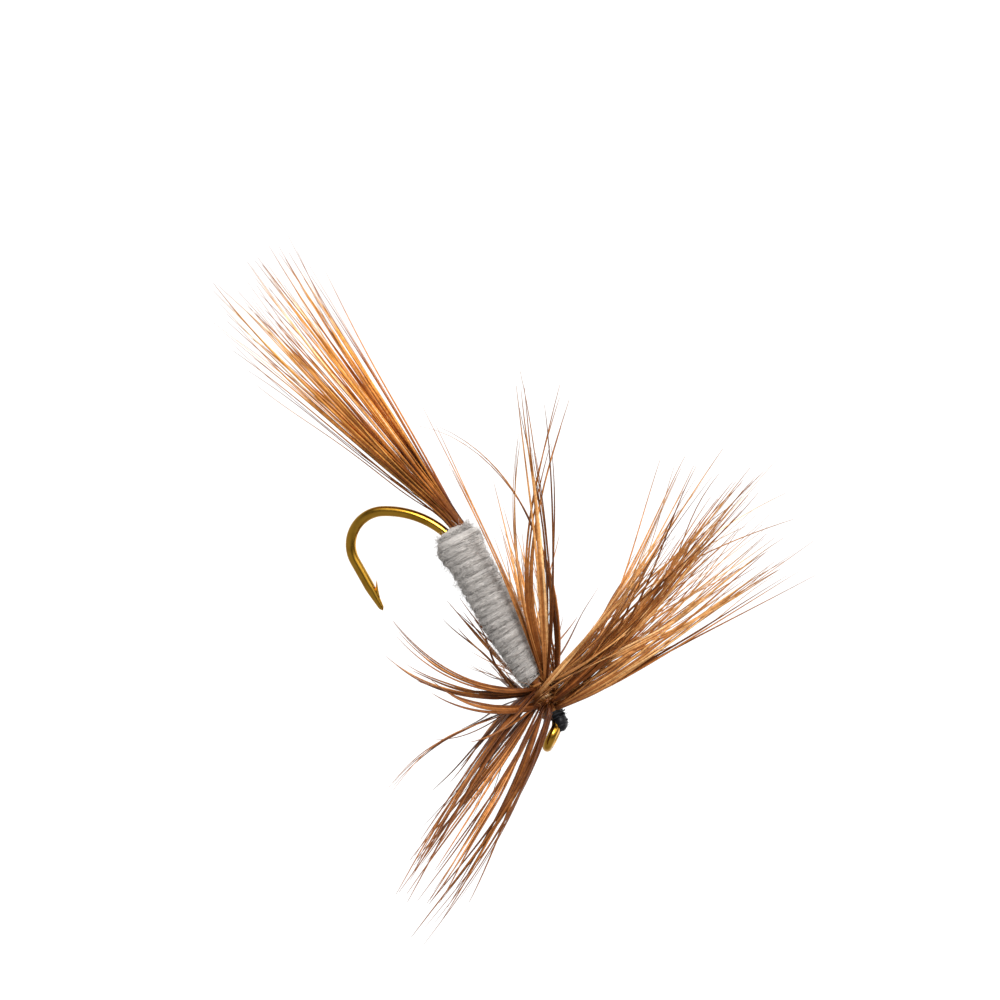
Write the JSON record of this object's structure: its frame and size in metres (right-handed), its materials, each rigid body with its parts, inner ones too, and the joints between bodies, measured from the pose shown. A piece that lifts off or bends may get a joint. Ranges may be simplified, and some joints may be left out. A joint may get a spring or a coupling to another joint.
{
  "type": "dry fly",
  "caption": "Dry fly on a barbed down-eye hook, with a wound grey yarn body, a long brown fibre tail and a full brown cock hackle behind a black thread head.",
  "frame": {"origin": "centre of the hook's eye", "axes": "+X forward along the shank towards the eye, +Z towards the back of the fly, so that the bend and point hang below the shank; Y is across"},
  "size_m": [0.042, 0.0317, 0.0344],
  "materials": {
    "hook_metal": "polished",
    "tying_thread": "satin",
    "tail_feather": "satin",
    "body_yarn": "matte",
    "hackle_feather": "satin",
    "head_thread": "satin",
    "head_varnish": "gloss"
  },
  "bodies": {
    "root": {"hook": "hook_metal", "thread_base": "tying_thread", "tail_fibre_01": "tail_feather", "tail_fibre_02": "tail_feather", "tail_fibre_03": "tail_feather", "tail_fibre_04": "tail_feather", "tail_fibre_05": "tail_feather", "tail_fibre_06": "tail_feather", "tail_fibre_07": "tail_feather", "tail_fibre_08": "tail_feather", "tail_fibre_09": "tail_feather", "tail_fibre_10": "tail_feather", "tail_fibre_11": "tail_feather", "tail_fibre_12": "tail_feather", "tail_fibre_13": "tail_feather", "tail_fibre_14": "tail_feather", "tail_fibre_15": "tail_feather", "tail_fibre_16": "tail_feather", "tail_fibre_17": "tail_feather", "tail_fibre_18": "tail_feather", "tail_fibre_19": "tail_feather", "tail_fibre_20": "tail_feather", "tail_fibre_21": "tail_feather", "tail_fibre_22": "tail_feather", "tail_lashing": "tying_thread", "yarn_underlayer": "body_yarn", "body_yarn": "body_yarn", "yarn_tie_off": "tying_thread", "hackle_feather_rear": "hackle_feather", "hackle_feather_front": "hackle_feather", "head_thread": "head_thread", "head_knot": "head_thread", "head_varnish": "head_varnish"}
  },
  "joints": []
}
